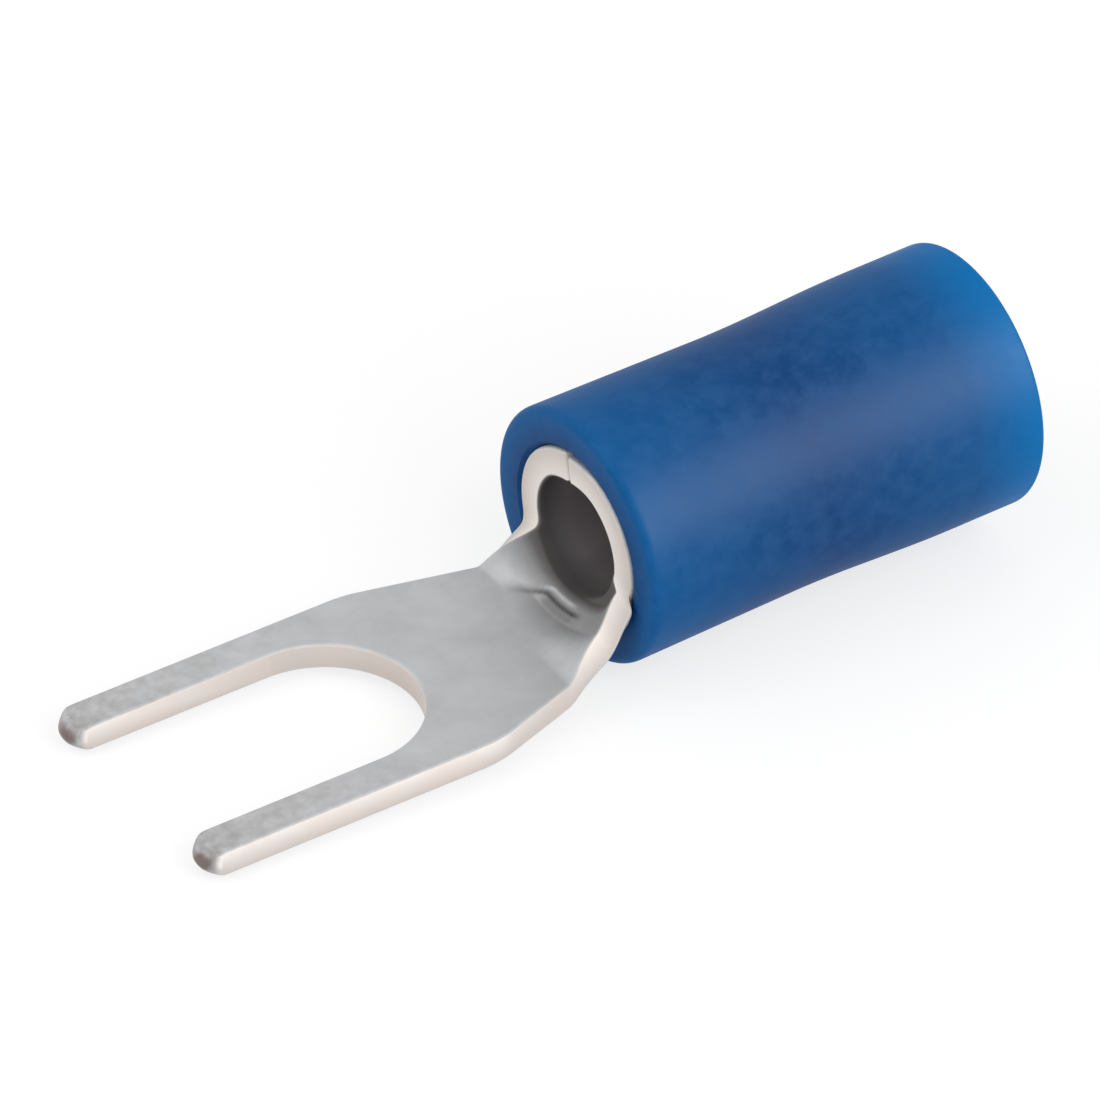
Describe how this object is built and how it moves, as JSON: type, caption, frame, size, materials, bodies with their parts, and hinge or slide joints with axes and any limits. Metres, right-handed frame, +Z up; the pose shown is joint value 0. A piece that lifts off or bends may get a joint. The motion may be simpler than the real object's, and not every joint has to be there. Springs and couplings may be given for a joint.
{
  "type": "fork terminal",
  "caption": "Insulated crimp fork terminal: a flat open fork for a screw stud, stamped and rolled with its wire barrel from tinned copper sheet, under a flared blue sleeve.",
  "frame": {"origin": "centre of the slot's round end, on the fork's underside", "axes": "+X to the tips of the tines, +Z up along the stud, away from the face that the fork is clamped on"},
  "size_m": [0.0214, 0.0062, 0.0062],
  "materials": {
    "tinned_copper": "tin plating on copper sheet, satin, with bright sheared edges",
    "blue_sleeve": "soft moulded plastic, satin"
  },
  "bodies": {
    "root": {"fork_terminal": "tinned_copper", "insulating_sleeve": "blue_sleeve"}
  },
  "joints": []
}
